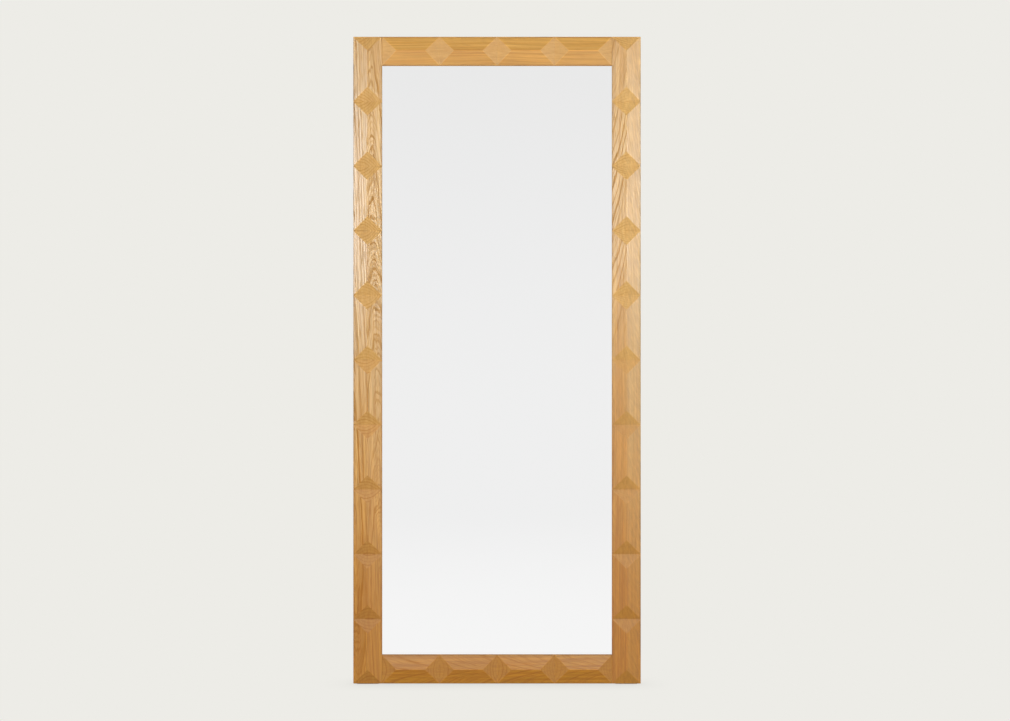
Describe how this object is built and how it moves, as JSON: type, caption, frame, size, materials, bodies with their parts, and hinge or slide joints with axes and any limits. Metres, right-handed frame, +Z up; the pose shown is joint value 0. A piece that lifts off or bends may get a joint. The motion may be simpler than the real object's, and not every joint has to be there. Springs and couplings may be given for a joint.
{
  "type": "floor mirror",
  "caption": "Full-length floor mirror in an oak frame carved with faceted, diamond-cut blocks, with a back panel, strap hangers with swinging rings, wall bumpers and felt feet.",
  "frame": {"origin": "on the floor, under the middle of the mirror's width and depth", "axes": "+X to the right seen from the front, +Y from the glass to the wall, +Z up"},
  "size_m": [0.8, 0.043, 1.802],
  "materials": {
    "oak": "satin lacquered light oak",
    "beech": "bare turned beech",
    "mirror": "silvered float glass",
    "setting_plastic": "black plastic",
    "foam": "pale grey closed-cell foam",
    "fibreboard": "smooth brown fibreboard",
    "zinc_screw": "bright zinc plated",
    "zinc_plate": "zinc plated sheet",
    "steel_wire": "bright nickel plated wire",
    "bumper_rubber": "matt black rubber",
    "felt": "pressed natural wool felt"
  },
  "bodies": {
    "frame": {"left_stile": "oak", "right_stile": "oak", "bottom_rail": "oak", "top_rail": "oak", "bottom_left_dowels": "beech", "bottom_right_dowels": "beech", "top_left_dowels": "beech", "top_right_dowels": "beech", "mirror_glass": "mirror", "left_setting_block": "setting_plastic", "right_setting_block": "setting_plastic", "left_cushion": "foam", "right_cushion": "foam", "bottom_cushion": "foam", "top_cushion": "foam", "back_panel": "fibreboard", "side_panel_screws": "zinc_screw", "end_panel_screws": "zinc_screw", "left_hanger_screws": "zinc_screw", "right_hanger_screws": "zinc_screw", "left_bumper_screw": "zinc_screw", "right_bumper_screw": "zinc_screw", "left_hanger_plate": "zinc_plate", "right_hanger_plate": "zinc_plate", "left_wall_bumper": "bumper_rubber", "right_wall_bumper": "bumper_rubber", "left_foot_pad": "felt", "right_foot_pad": "felt"},
    "left_ring": {"left_hanger_ring": "steel_wire"},
    "right_ring": {"right_hanger_ring": "steel_wire"}
  },
  "joints": [
    {"name": "left_ring_swing", "type": "hinge", "parent": "frame", "child": "left_ring", "pos_m": [-0.3735, 0.0168, 1.552], "axis": [1, 0, 0], "range_deg": [0, 180]},
    {"name": "right_ring_swing", "type": "hinge", "parent": "frame", "child": "right_ring", "pos_m": [0.3735, 0.0168, 1.552], "axis": [1, 0, 0], "range_deg": [0, 180]}
  ]
}
